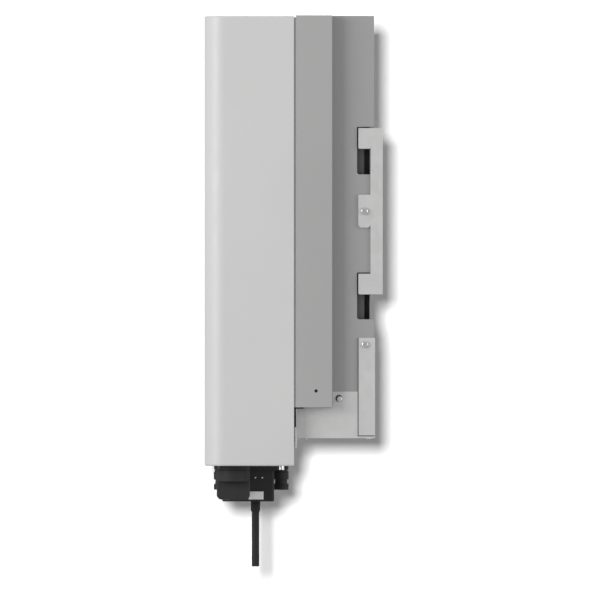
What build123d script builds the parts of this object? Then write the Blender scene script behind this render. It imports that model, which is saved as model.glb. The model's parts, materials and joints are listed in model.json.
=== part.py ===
from build123d import *
import os

# A wall-mounted string inverter. The origin is the middle of the wall bracket's bolt pattern, on the wall.
# X runs across the unit, Z up, and the front faces -Y, so every depth below is a distance in front of the wall.

os.makedirs("parts", exist_ok=True)

# ---- driving dimensions, in millimetres ----

# Front cover: a deep lid whose two front upright edges are widely rounded
cover_width = 500.0
cover_height = 590.0
cover_top = 255.9
cover_bottom = cover_top - cover_height
cover_front = 233.7
cover_rear = 116.3
cover_wall = 2.0
cover_corner = 27.0
cover_rim_radius = 2.2
cover_flange = 14.0
cover_flange_end = -262.0
cover_rim_flange = 9.0
post_x = 205.0
post_z = 235.0
post_front = 226.7
post_radius = 6.9
well_radius = 9.0
cover_hole_radius = 3.3
gasket_width = 6.5
gasket_end = -282.0
status_z = -262.0
status_length = 64.0
status_height = 7.0

# Cast main housing behind the cover
housing_width = 498.0
housing_top = 256.9
housing_bottom = -257.3
housing_front = 113.7
housing_rear = 66.0
housing_wall = 4.0
housing_floor = 6.0
housing_flange_inner = 234.0
housing_boss_radius = 8.0
housing_edge_radius = 1.2
rim_half_width = 248.0
rim_top = 254.4
rim_wall = 2.5
earth_hole_depth = 87.4
earth_hole_z = -235.7
earth_hole_radius = 2.1

# Cooling duct: heat sink, side plates, rear panel and outlet
duct_inner = 230.0
duct_sheet = 1.5
duct_outer = duct_inner + duct_sheet
duct_rear = 11.3
duct_top = 256.4
duct_bottom = -262.0
panel_rear = 16.0
sink_half_width = 212.0
sink_base = 10.0
sink_top = 236.0
sink_bottom = -228.0
fin_tip = 24.0
fin_pitch = 11.0
fin_count = 39
fin_thickness = 2.4
brace_pitch = 143.0
side_flange = 16.0
grille_slot = (36.0, 6.0)
grille_lip = 14.0
grille_sheet = 1.2
clinch_radius = 4.5
clinch_hole_radius = 2.6
clinch_height = 4.0

# Notches in the duct side plates, and the bracket that hooks into them
notch_front = 33.6
notch_radius = 3.5
notch_tops = (110.7, -80.4)
notch_heights = (62.3, 61.4)
bracket_half_height = 109.2
bracket_half_width = 234.5
bracket_sheet = 2.5
flange_front = 15.9
hook_front = 31.8
hook_height = 27.3
hook_corner = 1.8
hook_lip = 14.0
tab_half_height = 21.7
tab_radius = 4.6
window_width = 300.0
window_height = 104.0
wall_hole_x = 190.0
wall_hole_z = 80.0
wall_hole_radius = 4.5
lock_screw = (23.8, 0.0)
strip_screw = (23.2, -174.8)
tray_screw = (56.5, -246.3)
screw_places = (lock_screw, strip_screw, tray_screw)

# Fan tray under the duct, and the angle strips at its rear corners
tray_front = 112.4
tray_back = 11.3
tray_top = -236.6
tray_bottom = -297.8
tray_outer = duct_outer + 1.5
tray_step = 65.9
fan_size = 92.0
fan_height = 25.0
fan_depth = 60.0
fan_hole_pitch = 82.5
fan_xs = {"left": -145.0, "middle": 0.0, "right": 145.0}
fan_bore = 44.0
fan_hub_radius = 18.0
fan_shaft = 1.5
fan_bearing_radius = 4.5
fan_blade_count = 7
guard_radii = (37.0, 29.0, 21.0, 13.0)
guard_slot = 5.5
guard_spoke = 5.0
guard_hole_radius = 2.2
guard_head = (3.2, 1.2)
tray_hole_radius = 4.4
strip_sheet = 1.2
strip_leg = 18.0
strip_back = 10.0
strip_front = 31.6
strip_top = -166.1
strip_bottom = -294.2

# Connection box at the bottom of the cover, and what hangs from its plate
box_wall = 1.5
box_sheet = 1.6
box_flange_back = 103.6
box_flange_half_width = 215.0
box_half_width = 246.0
box_front = 229.7
box_back = 115.7
box_top = -284.0
plate_bottom = -310.5
plate_top = -307.5
inlet_count = 10
inlet_pitch = 24.0
inlet_middle = -2.0
positive_depth = 212.0
negative_depth = 133.4
inlet_radius = 10.0
inlet_neck = 8.0
inlet_bore = 4.2
inlet_length = 49.4
inlet_socket_depth = 20.0
cap_length = 56.0
ac_x = -185.0
ac_depth = 178.0
ac_flange_size = 56.0
ac_body_radius = 23.0
ac_neck_radius = 22.0
ac_bore = 14.0
ac_length = 36.0
ac_nut_radius = 26.0
ac_nut_bore = 12.5
ac_nut_length = 25.0
signal_x = -228.0
signal_neck = 8.0
vent_x = -146.0
vent_depth = 214.0
vent_neck = 5.0
hex_size = 6.5
earth_x = 222.0
earth_depth = 133.0
earth_radius = 4.0
switch_x = 212.0
switch_depth = 196.0
knob_radius = 21.9
knob_top = -340.0
knob_bottom = -378.6
knob_shaft = 4.0
knob_corner = 6.6
knob_bar_half_width = 7.5
knob_bar_height = 24.0
switch_neck = 11.0
switch_body = (40.0, 42.0)
module_x = 153.0
module_width = 50.0
module_front = 210.9
module_back = 142.5
module_bottom = -381.3
module_flange_back = 136.7
module_flange = 6.0
module_cap_height = 24.0
module_neck = 12.0
plate_pocket_depth = (156.4, 176.0)
plate_pocket_z = (-378.6, -368.1)
antenna_depth = 167.0
antenna_radius = 4.9
antenna_bottom = -467.0
collar_radius = 6.1
collar_bottom = -395.3

# Electronics inside
board_front = 100.0
board_sheet = 2.0
board_bottom = -150.0
board_top = 125.0
lower_board_front = 148.0
lower_board_z = (-246.0, -168.0)
control_front = 189.6
stir_x = 65.0
stir_depth = 91.0
stir_z = 240.0
stir_shaft = 1.0
stir_size = 36.0
stir_height = 15.0
stir_hub_radius = 7.0
standoff_pitch_x = 126.0
standoff_pitch_z = 220.0
standoff_radius = 4.5
control_sheet = 1.6
control_half_width = 125.0
control_half_height = 95.0
header_height = 11.0
chip_height = 2.4
module_pitch = 80.0
module_block = (62.0, 54.0, 14.0)
capacitor_radius = 17.5
capacitor_pitch = 42.0
capacitor_height = 52.0
inductor_pitch = 97.0
inductor_block = (86.0, 60.0, 62.0)
choke_pitch = 130.0
choke_radius = 43.0
choke_bore = 17.0
choke_height = 36.0
relay_pitch = (48.0, 36.0)
relay_block = (30.0, 26.0, 24.0)
surge_pitch = 30.0
surge_block = (20.0, 36.0, 34.0)
busbar_width = 8.0
busbar_sheet = 2.0
lower_post_z = -160.0
lower_boards = ((90.0, 160.0), (-108.0, 130.0))
terminal_z = (-285.5, -268.0)
running_gap = 0.05
fit_gap = 0.1


# ---- shared shapes ----

def at_depth(depth):
    """A plane parallel to the wall, this far in front of it, facing forwards."""
    return Plane.XZ.offset(depth)


def at_side(x):
    """A plane parallel to the unit's sides, facing +X. On it, a depth is a negative first coordinate."""
    return Plane.YZ.offset(x)


def at_height(z):
    """A level plane, facing up."""
    return Plane.XY.offset(z)


def side_limits(side, inner, outer):
    """X limits of a wall between two distances out from the middle, on side +1 or -1."""
    return tuple(sorted((side * inner, side * outer)))


def add_block(x, depth, z, mode=Mode.ADD):
    """Adds or cuts a block between two X limits, two depths and two heights."""
    middle = ((x[0] + x[1]) / 2, -(depth[0] + depth[1]) / 2, (z[0] + z[1]) / 2)
    with Locations(middle):
        Box(x[1] - x[0], depth[1] - depth[0], z[1] - z[0], mode=mode)


def front_rounded(half_width, front, back, corner, z):
    """A level outline at height z whose two front corners are rounded like the cover's."""
    with BuildSketch(at_height(z)) as outline:
        with Locations((0, -(front + back) / 2)):
            Rectangle(2 * half_width, front - back)
        fillet(outline.vertices().group_by(Axis.Y)[0], corner)
    return outline.sketch


def pan_screw(seat, head_radius, head_height, shank_radius, length):
    """A pan-head screw with a six-lobed recess. Its head stands on the seat plane and its shank goes down."""
    with BuildPart() as screw:
        with BuildSketch(seat):
            Circle(head_radius)
        extrude(amount=head_height)
        fillet(screw.faces().sort_by(Axis(seat.origin, seat.z_dir))[-1].edges(), head_height * 0.55)
        with BuildSketch(seat.offset(head_height)):
            Circle(head_radius * 0.3)
            with PolarLocations(head_radius * 0.33, 6):
                Circle(head_radius * 0.12)
        extrude(amount=-head_height * 0.6, mode=Mode.SUBTRACT)
        with BuildSketch(seat):
            Circle(shank_radius)
        extrude(amount=-length)
    return screw


def turned(points, x, depth):
    """A body turned about an upright axis, from a list of (radius, height) points."""
    with BuildPart() as body:
        with BuildSketch(Plane.XZ):
            with BuildLine():
                Polyline(points, close=True)
            make_face()
        revolve(axis=Axis.Z)
    return body.part.moved(Location((x, -depth, 0)))


# ---- front cover, its gasket, posts, screws and status window ----

with BuildPart() as front_cover:
    extrude(
        front_rounded(cover_width / 2, cover_front, cover_rear, cover_corner, cover_bottom),
        amount=cover_height,
    )
    level_faces = front_cover.faces().filter_by(Axis.Z)
    fillet(level_faces.edges().filter_by(lambda e: e.center().Y < -cover_rear - 1), cover_rim_radius)
    inner_half_width = cover_width / 2 - cover_wall
    inner_front = cover_front - cover_wall
    extrude(
        front_rounded(
            inner_half_width,
            inner_front,
            cover_rear + cover_wall,
            cover_corner - cover_wall,
            cover_bottom + cover_wall,
        ),
        amount=cover_height - 2 * cover_wall,
        mode=Mode.SUBTRACT,
    )
    # The rear edge turns in as a gasket land, down to the connection box
    land_half_width = cover_width / 2 - cover_flange
    rear_skin = (cover_rear - 1, cover_rear + cover_wall + 1)
    add_block(
        (-land_half_width, land_half_width),
        rear_skin,
        (cover_flange_end, cover_top - cover_flange),
        Mode.SUBTRACT,
    )
    add_block(
        (-inner_half_width, inner_half_width),
        rear_skin,
        (cover_bottom - 1, cover_flange_end),
        Mode.SUBTRACT,
    )
    # The underside is open, with the rim turned in around it
    opening_half_width = cover_width / 2 - cover_rim_flange
    add_block(
        (-opening_half_width, opening_half_width),
        (cover_rear - 1, cover_front - cover_rim_flange),
        (cover_bottom - 1, cover_bottom + cover_wall + 1),
        Mode.SUBTRACT,
    )
    # Wells for the four cover screws
    with BuildSketch(at_depth(post_front)):
        with GridLocations(2 * post_x, 2 * post_z, 2, 2):
            Circle(well_radius + cover_wall)
    extrude(amount=cover_front - post_front)
    with BuildSketch(at_depth(post_front + cover_wall)):
        with GridLocations(2 * post_x, 2 * post_z, 2, 2):
            Circle(well_radius)
    extrude(amount=cover_front - post_front, mode=Mode.SUBTRACT)
    with BuildSketch(at_depth(post_front)):
        with GridLocations(2 * post_x, 2 * post_z, 2, 2):
            Circle(cover_hole_radius)
    extrude(amount=cover_front - post_front, mode=Mode.SUBTRACT)
    # The slot that the status window fills
    with BuildSketch(at_depth(inner_front)):
        with Locations((0, status_z)):
            SlotOverall(status_length, status_height)
    extrude(amount=cover_wall, mode=Mode.SUBTRACT)

with BuildPart() as status_window:
    with BuildSketch(at_depth(inner_front)):
        with Locations((0, status_z)):
            SlotOverall(status_length - 2 * fit_gap, status_height - 2 * fit_gap)
    extrude(amount=cover_wall)
    with BuildSketch(at_depth(inner_front - 1.5)):
        with Locations((0, status_z)):
            SlotOverall(status_length + 6, status_height + 6)
    extrude(amount=1.5)

# The gasket lies inside the housing's rim
with BuildPart() as lid_gasket:
    gasket_outer = rim_half_width - rim_wall
    gasket_top = rim_top - rim_wall
    add_block((-gasket_outer, gasket_outer), (housing_front, cover_rear), (gasket_end, gasket_top))
    add_block(
        (-gasket_outer + gasket_width, gasket_outer - gasket_width),
        (housing_front - 1, cover_rear + 1),
        (gasket_end - 1, gasket_top - gasket_width),
        Mode.SUBTRACT,
    )

with BuildPart() as cover_posts:
    with BuildSketch(at_depth(housing_front)):
        with GridLocations(2 * post_x, 2 * post_z, 2, 2):
            RegularPolygon(radius=post_radius, side_count=6)
    extrude(amount=post_front - housing_front)
    with BuildSketch(at_depth(post_front)):
        with GridLocations(2 * post_x, 2 * post_z, 2, 2):
            Circle(3.1)
    extrude(amount=-18, mode=Mode.SUBTRACT)

cover_screw = pan_screw(at_depth(post_front + cover_wall), 6.0, 3.6, 3.0, 16.0)
with BuildPart() as cover_screws:
    with Locations(*[(x, 0, z) for x in (-post_x, post_x) for z in (-post_z, post_z)]):
        add(cover_screw.part)


# ---- main housing ----

with BuildPart() as main_housing:
    half = housing_width / 2
    add_block((-half, half), (housing_rear, housing_front), (housing_bottom, housing_top))
    rear_face = main_housing.faces().sort_by(Axis.Y)[-1]
    fillet(rear_face.edges(), housing_edge_radius)
    cavity_rear = housing_rear + housing_floor
    add_block(
        (-half + housing_wall, half - housing_wall),
        (cavity_rear, housing_front - housing_wall),
        (housing_bottom + housing_wall, housing_top - housing_wall),
        Mode.SUBTRACT,
    )
    add_block(
        (-housing_flange_inner, housing_flange_inner),
        (housing_front - housing_wall - 1, housing_front + 1),
        (housing_bottom + 11, housing_top - 13),
        Mode.SUBTRACT,
    )
    with BuildSketch(at_depth(cavity_rear)):
        with GridLocations(2 * post_x, 2 * post_z, 2, 2):
            Circle(housing_boss_radius)
    extrude(amount=housing_front - cavity_rear)
    # A low rim round the front, which meets the cover outside the gasket
    rim_depth = (housing_front, cover_rear - fit_gap)
    for side in (1, -1):
        rim_side = side_limits(side, rim_half_width - rim_wall, rim_half_width)
        add_block(rim_side, rim_depth, (housing_bottom, rim_top))
    add_block((-rim_half_width, rim_half_width), rim_depth, (rim_top - rim_wall, rim_top))
    # A tapped earthing hole in each side, with a boss inside
    for side in (1, -1):
        add_block(
            side_limits(side, half - 12, half - housing_wall),
            (earth_hole_depth - 6, earth_hole_depth + 6),
            (earth_hole_z - 6, earth_hole_z + 6),
        )
        with BuildSketch(at_side(side * half)):
            with Locations((-earth_hole_depth, earth_hole_z)):
                Circle(earth_hole_radius)
        extrude(amount=-side * 10, mode=Mode.SUBTRACT)


# ---- cooling duct ----

with BuildPart() as heat_sink:
    fin_root = housing_rear - sink_base
    add_block((-sink_half_width, sink_half_width), (fin_root, housing_rear), (sink_bottom, sink_top))

# Each fin is bonded to the base by its root, and three of them reach back to brace the rear panel
with BuildPart() as heat_sink_fins:
    with BuildSketch(at_height(sink_bottom)):
        with Locations((0, -(fin_root + fin_tip) / 2)):
            with GridLocations(fin_pitch, 0, fin_count, 1):
                Rectangle(fin_thickness, fin_root - fin_tip)
        panel_front = panel_rear + duct_sheet
        with Locations((0, -(fin_root + panel_front) / 2)):
            with GridLocations(brace_pitch, 0, 3, 1):
                Rectangle(fin_thickness, fin_root - panel_front)
    extrude(amount=sink_top - sink_bottom)


def duct_side(side):
    """One sheet-metal side of the duct, notched for the bracket's two hooks."""
    with BuildPart() as plate:
        sheet = side_limits(side, duct_inner, duct_outer)
        add_block(sheet, (duct_rear, housing_rear), (duct_bottom, duct_top))
        # Its front edge turns in, against the housing
        add_block(
            side_limits(side, duct_inner - side_flange, duct_inner),
            (housing_rear - duct_sheet, housing_rear),
            (housing_bottom + 6, duct_top - 4),
        )
        # The tray's rear wall passes behind its lower end
        add_block(
            side_limits(side, duct_inner - 1, duct_outer + 1),
            (duct_rear - 1, tray_back + 1.6),
            (duct_bottom - 1, tray_top),
            Mode.SUBTRACT,
        )
        for top, height in zip(notch_tops, notch_heights):
            with BuildSketch(at_side(side * (duct_inner - 1))) as notch:
                with Locations((-notch_front / 2, top - height / 2)):
                    Rectangle(notch_front, height)
                fillet(notch.vertices().group_by(Axis.Y)[0], notch_radius)
            extrude(amount=side * 4, mode=Mode.SUBTRACT)
        # Clinch nuts for the lock, strip and tray screws
        for depth, z in screw_places:
            with BuildSketch(at_side(side * duct_inner)):
                with Locations((-depth, z)):
                    Circle(clinch_radius)
            extrude(amount=-side * clinch_height)
            with BuildSketch(at_side(side * duct_outer)):
                with Locations((-depth, z)):
                    Circle(clinch_hole_radius)
            extrude(amount=-side * 2 * clinch_height, mode=Mode.SUBTRACT)
    return plate


with BuildPart() as duct_rear_panel:
    add_block((-duct_inner, duct_inner), (panel_rear, panel_front), (tray_top - 12, duct_top - 1.4))
    for side in (1, -1):
        for top, height in zip(notch_tops, notch_heights):
            add_block(
                side_limits(side, duct_inner - side_flange, duct_inner + 1),
                (panel_rear - 1, panel_rear + 3),
                (top - height, top),
                Mode.SUBTRACT,
            )

with BuildPart() as outlet_grille:
    grille_top = duct_top - 4
    duct_inside = (panel_front, housing_rear - duct_sheet)
    add_block((-duct_inner, duct_inner), duct_inside, (grille_top - grille_sheet, grille_top))
    for side in (1, -1):
        lip = side_limits(side, duct_inner - grille_sheet, duct_inner)
        add_block(lip, duct_inside, (grille_top - grille_lip, grille_top))
    with BuildSketch(at_height(grille_top)):
        with Locations((0, -(duct_inside[0] + duct_inside[1]) / 2)):
            with GridLocations(fin_pitch, 0, fin_count, 1):
                SlotOverall(*grille_slot, rotation=90)
    extrude(amount=-2 * grille_sheet, mode=Mode.SUBTRACT)


# ---- fan tray, fans and rear strips ----

with BuildPart() as fan_tray:
    tray_sheet = tray_outer - duct_outer
    add_block((-tray_outer, tray_outer), (tray_back, tray_front), (tray_bottom, tray_top))
    add_block(
        (-duct_outer, duct_outer),
        (tray_back + tray_sheet, tray_front - tray_sheet),
        (tray_bottom + tray_sheet, tray_top + 1),
        Mode.SUBTRACT,
    )
    # The front part stops at the housing, and lower still at the connection box's flange
    add_block(
        (-tray_outer - 1, tray_outer + 1),
        (tray_step, tray_front + 1),
        (housing_bottom, tray_top + 1),
        Mode.SUBTRACT,
    )
    add_block(
        (-tray_outer - 1, tray_outer + 1),
        (box_flange_back, tray_front + 1),
        (housing_bottom - box_sheet, housing_bottom + 1),
        Mode.SUBTRACT,
    )
    # The floor's lip runs on to the rear
    floor_skin = (tray_bottom, tray_bottom + tray_sheet)
    add_block((-tray_outer, tray_outer), (tray_back - 1.4, tray_back), floor_skin)
    # Stamped finger guards under the fans
    for x in fan_xs.values():
        with BuildSketch(at_height(tray_bottom - 1)):
            with Locations((x, -fan_depth)):
                for radius in guard_radii:
                    Circle(radius + guard_slot / 2)
                    Circle(radius - guard_slot / 2, mode=Mode.SUBTRACT)
                for angle in (45, -45):
                    Rectangle(fan_size, guard_spoke, rotation=angle, mode=Mode.SUBTRACT)
        extrude(amount=4, mode=Mode.SUBTRACT)
        with BuildSketch(at_height(tray_bottom - 1)):
            with Locations((x, -fan_depth)):
                with GridLocations(fan_hole_pitch, fan_hole_pitch, 2, 2):
                    Circle(guard_hole_radius)
        extrude(amount=4, mode=Mode.SUBTRACT)
    # A loose hole in each side for the tray's screw, a little ahead of it
    for side in (1, -1):
        with BuildSketch(at_side(side * (tray_outer + 1))):
            with Locations((-tray_screw[0] - 1, tray_screw[1] + 1)):
                Circle(tray_hole_radius)
        extrude(amount=-side * 4, mode=Mode.SUBTRACT)


def fan_frame(x):
    """A square fan frame with its bore, motor mount, struts and bearing."""
    bottom = tray_bottom + tray_sheet
    top = bottom + fan_height
    with BuildPart() as frame:
        with BuildSketch(at_height(bottom)) as square:
            with Locations((x, -fan_depth)):
                Rectangle(fan_size, fan_size)
            fillet(square.vertices(), 5)
            with Locations((x, -fan_depth)):
                with GridLocations(fan_hole_pitch, fan_hole_pitch, 2, 2):
                    Circle(guard_hole_radius, mode=Mode.SUBTRACT)
        extrude(amount=fan_height)
        with BuildSketch(at_height(bottom - 1)):
            with Locations((x, -fan_depth)):
                Circle(fan_bore)
        extrude(amount=fan_height + 2, mode=Mode.SUBTRACT)
        with BuildSketch(at_height(top - 3)):
            with Locations((x, -fan_depth)):
                Circle(fan_hub_radius)
                for angle in (45, -45):
                    Rectangle(2 * fan_bore + 1, guard_spoke, rotation=angle)
        extrude(amount=3)
        with BuildSketch(at_height(top - 13)):
            with Locations((x, -fan_depth)):
                Circle(fan_bearing_radius)
        extrude(amount=12)
        with BuildSketch(at_height(top - 14)):
            with Locations((x, -fan_depth)):
                Circle(fan_shaft + running_gap)
        extrude(amount=13, mode=Mode.SUBTRACT)
    return frame


with BuildPart() as fan_blade:
    inner = Plane(origin=(17, 0, 0), x_dir=(0, 1, 0), z_dir=(1, 0, 0))
    with BuildSketch(inner):
        Rectangle(15, 1.8, rotation=48)
    with BuildSketch(inner.offset(25)):
        Rectangle(24, 1.4, rotation=30)
    loft()

with BuildPart() as fan_turning:
    with BuildSketch(at_height(-9)):
        Circle(fan_hub_radius)
    extrude(amount=17)
    fillet(fan_turning.edges().filter_by(GeomType.CIRCLE).sort_by(Axis.Z)[0], 2)
    with BuildSketch(at_height(-7)):
        Circle(fan_hub_radius - 2)
    extrude(amount=16, mode=Mode.SUBTRACT)
    with BuildSketch(at_height(-7)):
        Circle(fan_shaft)
    extrude(amount=16.5)
    with PolarLocations(0, fan_blade_count):
        add(fan_blade.part)


def fan_rotor(x):
    """The turning hub, shaft and blades of one fan."""
    with BuildPart() as rotor:
        with Locations((x, -fan_depth, tray_bottom + tray_sheet + fan_height / 2)):
            add(fan_turning.part)
    return rotor


with BuildPart() as guard_screws:
    for x in fan_xs.values():
        with BuildSketch(at_height(tray_bottom)):
            with Locations((x, -fan_depth)):
                with GridLocations(fan_hole_pitch, fan_hole_pitch, 2, 2):
                    Circle(guard_head[0])
        extrude(amount=-guard_head[1])
        with BuildSketch(at_height(tray_bottom)):
            with Locations((x, -fan_depth)):
                with GridLocations(fan_hole_pitch, fan_hole_pitch, 2, 2):
                    Circle(2.0)
        extrude(amount=18)


def rear_strip(side):
    """An upright angle that ties the tray's rear corner to the duct side."""
    with BuildPart() as strip:
        outer = tray_outer + strip_sheet
        height = (strip_bottom, strip_top)
        add_block(side_limits(side, tray_outer, outer), (strip_back, strip_front), height)
        rear_leg = side_limits(side, tray_outer - strip_leg, tray_outer)
        add_block(rear_leg, (strip_back, strip_back + strip_sheet), height)
        # The upper end is joggled in against the duct side, which the tray doesn't cover
        joggle = side_limits(side, duct_outer, tray_outer)
        add_block(joggle, (strip_back + 3, strip_front), (tray_top + 0.5, strip_top))
        with BuildSketch(at_side(side * (outer + 1))):
            with Locations((-strip_screw[0], strip_screw[1])):
                Circle(2.7)
        extrude(amount=-side * 6, mode=Mode.SUBTRACT)
    return strip


# ---- wall bracket and the side screws ----

with BuildPart() as wall_bracket:
    full_height = (-bracket_half_height, bracket_half_height)
    add_block((-bracket_half_width, bracket_half_width), (0, bracket_sheet), full_height)
    with BuildSketch(at_depth(-1)) as window:
        Rectangle(window_width, window_height)
        fillet(window.vertices(), 10)
        with GridLocations(2 * wall_hole_x, 2 * wall_hole_z, 2, 2):
            Circle(wall_hole_radius)
    extrude(amount=bracket_sheet + 2, mode=Mode.SUBTRACT)
    for side in (1, -1):
        flange = side_limits(side, bracket_half_width - bracket_sheet, bracket_half_width)
        add_block(flange, (0, flange_front), full_height)
        # The screwed tab in the middle
        with BuildSketch(at_side(flange[0])) as tab:
            with Locations((-(flange_front + hook_front) / 2, 0)):
                Rectangle(hook_front - flange_front, 2 * tab_half_height)
            fillet(tab.vertices().group_by(Axis.Y)[0], tab_radius)
            with Locations((-lock_screw[0], lock_screw[1])):
                Circle(2.75, mode=Mode.SUBTRACT)
        extrude(amount=bracket_sheet)
        # Two hooks, each a forward tab with a lip turned in through the duct's notch
        for end in (1, -1):
            hook_middle = end * (bracket_half_height - hook_height / 2)
            with BuildSketch(at_side(flange[0])) as hook:
                with Locations((-(flange_front + hook_front) / 2, hook_middle)):
                    Rectangle(hook_front - flange_front, hook_height)
                fillet(hook.vertices().group_by(Axis.Y)[0], hook_corner)
            extrude(amount=bracket_sheet)
            lip_outer = bracket_half_width - bracket_sheet
            add_block(
                side_limits(side, lip_outer - hook_lip, lip_outer),
                (hook_front - bracket_sheet, hook_front),
                (hook_middle - hook_height / 2 + hook_corner, hook_middle + hook_height / 2 - hook_corner),
            )


def side_seat(side, x, place):
    """A seat for a screw head on one side of the unit, facing out."""
    depth, z = place
    return Plane(origin=(side * x, -depth, z), x_dir=(0, 1, 0), z_dir=(side, 0, 0))


def side_screws(x, place, head_radius, head_height, length):
    """A pair of M5 screws, one on each side of the unit."""
    with BuildPart() as pair:
        for side in (1, -1):
            add(pan_screw(side_seat(side, x, place), head_radius, head_height, 2.5, length).part)
    return pair


# ---- connection box, connector plate and seal ----

def box_ring(outer_half, outer_front, inner_half, inner_front, corner, z):
    """A level U round the cover's corners, open at the rear."""
    with BuildSketch(at_height(z)) as ring:
        add(front_rounded(outer_half, outer_front, box_back, corner, 0))
        add(
            front_rounded(inner_half, inner_front, box_back - 1, corner - (outer_front - inner_front), 0),
            mode=Mode.SUBTRACT,
        )
    return ring.sketch


box_corner = cover_corner - (cover_front - box_front)

with BuildPart() as connection_box:
    box_inner = box_half_width - box_wall
    extrude(
        box_ring(box_half_width, box_front, box_inner, box_front - box_wall, box_corner, plate_bottom),
        amount=box_top - plate_bottom,
    )
    # The thick lower hem of the rear wall, the thin wall above it and the flange under the housing
    box_rear = tray_front + fit_gap
    hem_top = gasket_end - 1
    add_block((-box_half_width - 1, box_half_width + 1), (box_rear, box_back), (plate_bottom, hem_top))
    add_block(
        (-box_half_width, box_half_width),
        (box_rear, housing_front),
        (hem_top, housing_bottom - box_sheet),
    )
    add_block(
        (-box_flange_half_width, box_flange_half_width),
        (box_flange_back, housing_front),
        (housing_bottom - box_sheet, housing_bottom),
    )

with BuildPart() as tray_seal:
    extrude(
        box_ring(
            cover_width / 2 - cover_wall - fit_gap,
            cover_front - cover_wall - fit_gap,
            box_half_width + fit_gap,
            box_front + fit_gap,
            cover_corner - cover_wall - fit_gap,
            plate_bottom + 8,
        ),
        amount=8,
    )

inlet_rows = {"positive": positive_depth, "negative": negative_depth}

with BuildPart() as connector_plate:
    extrude(
        front_rounded(
            box_inner - fit_gap,
            box_front - box_wall - fit_gap,
            box_back + fit_gap,
            box_corner - box_wall,
            plate_bottom,
        ),
        amount=plate_top - plate_bottom,
    )
    with BuildSketch(at_height(plate_bottom - 1)):
        for depth in inlet_rows.values():
            with Locations((inlet_middle, -depth)):
                with GridLocations(inlet_pitch, 0, inlet_count, 1):
                    Circle(inlet_neck + fit_gap)
        with Locations((ac_x, -ac_depth)):
            Circle(ac_neck_radius + fit_gap)
        with Locations((signal_x, -ac_depth)):
            Circle(signal_neck + fit_gap)
        with Locations((vent_x, -vent_depth)):
            Circle(vent_neck + fit_gap)
        with Locations((earth_x, -earth_depth)):
            Circle(earth_radius + fit_gap)
        with Locations((switch_x, -switch_depth)):
            Circle(switch_neck + fit_gap)
        with Locations((module_x, -(module_front + module_back) / 2)):
            Circle(module_neck + fit_gap)
    extrude(amount=plate_top - plate_bottom + 2, mode=Mode.SUBTRACT)


# ---- direct-current inlets, their nuts and blanking caps ----

inlet_shape = turned(
    [
        (inlet_bore, plate_bottom - inlet_length),
        (inlet_neck, plate_bottom - inlet_length),
        (inlet_neck, plate_bottom - inlet_length + 7.0),
        (inlet_radius, plate_bottom - inlet_length + 7.0),
        (inlet_radius, plate_bottom - inlet_length + 16.0),
        (inlet_radius - 1.2, plate_bottom - inlet_length + 17.5),
        (inlet_radius - 1.2, plate_bottom - 6.0),
        (inlet_radius, plate_bottom - 6.0),
        (inlet_radius, plate_bottom),
        (inlet_neck, plate_bottom),
        (inlet_neck, plate_top + 9.0),
        (3.5, plate_top + 9.0),
        (3.5, plate_top + 22.0),
        (0, plate_top + 22.0),
        (0, plate_bottom - inlet_socket_depth),
        (inlet_bore, plate_bottom - inlet_socket_depth),
    ],
    0,
    0,
)
inlet_cap_shape = turned(
    [
        (0, plate_bottom - cap_length),
        (inlet_radius - 1, plate_bottom - cap_length),
        (inlet_radius, plate_bottom - cap_length + 1),
        (inlet_radius, plate_bottom - inlet_length - fit_gap),
        (inlet_bore - 0.2, plate_bottom - inlet_length - fit_gap),
        (inlet_bore - 0.2, plate_bottom - inlet_socket_depth - 4.0),
        (0, plate_bottom - inlet_socket_depth - 4.0),
    ],
    0,
    0,
)


def inlet_row(depth):
    """One row of inlets."""
    with BuildPart() as row:
        with Locations((inlet_middle, -depth, 0)):
            with GridLocations(inlet_pitch, 0, inlet_count, 1):
                add(inlet_shape)
    return row


with BuildPart() as inlet_caps:
    for depth in inlet_rows.values():
        with Locations((inlet_middle, -depth, 0)):
            with GridLocations(inlet_pitch, 0, inlet_count, 1):
                add(inlet_cap_shape)

with BuildPart() as inlet_nuts:
    with BuildSketch(at_height(plate_top)):
        for depth in inlet_rows.values():
            with Locations((inlet_middle, -depth)):
                with GridLocations(inlet_pitch, 0, inlet_count, 1):
                    RegularPolygon(radius=inlet_radius, side_count=6, major_radius=False)
                    Circle(inlet_neck + fit_gap, mode=Mode.SUBTRACT)
    extrude(amount=5)


# ---- alternating-current outlet, signal gland, vent and earth terminal ----

with BuildPart() as ac_connector:
    with BuildSketch(at_height(plate_bottom)) as ac_flange:
        with Locations((ac_x, -ac_depth)):
            Rectangle(ac_flange_size, ac_flange_size)
        fillet(ac_flange.vertices(), 6)
    extrude(amount=-6)
    with BuildSketch(at_height(plate_bottom)):
        with Locations((ac_x, -ac_depth)):
            Circle(ac_body_radius)
    extrude(amount=-ac_length)
    with BuildSketch(at_height(plate_bottom)):
        with Locations((ac_x, -ac_depth)):
            Circle(ac_neck_radius)
    extrude(amount=9)
    with BuildSketch(at_height(plate_top + 7)):
        with Locations((ac_x, -ac_depth)):
            Circle(ac_bore)
    extrude(amount=-ac_length - ac_bore, mode=Mode.SUBTRACT)

with BuildPart() as ac_gland_nut:
    with BuildSketch(at_height(plate_bottom - ac_length)):
        with Locations((ac_x, -ac_depth)):
            Circle(ac_nut_radius)
            with PolarLocations(ac_nut_radius, 16):
                Circle(1.6, mode=Mode.SUBTRACT)
            Circle(ac_nut_bore, mode=Mode.SUBTRACT)
    extrude(amount=-ac_nut_length)
    fillet(ac_gland_nut.faces().sort_by(Axis.Z)[0].inner_wires()[0].edges(), 2)

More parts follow.
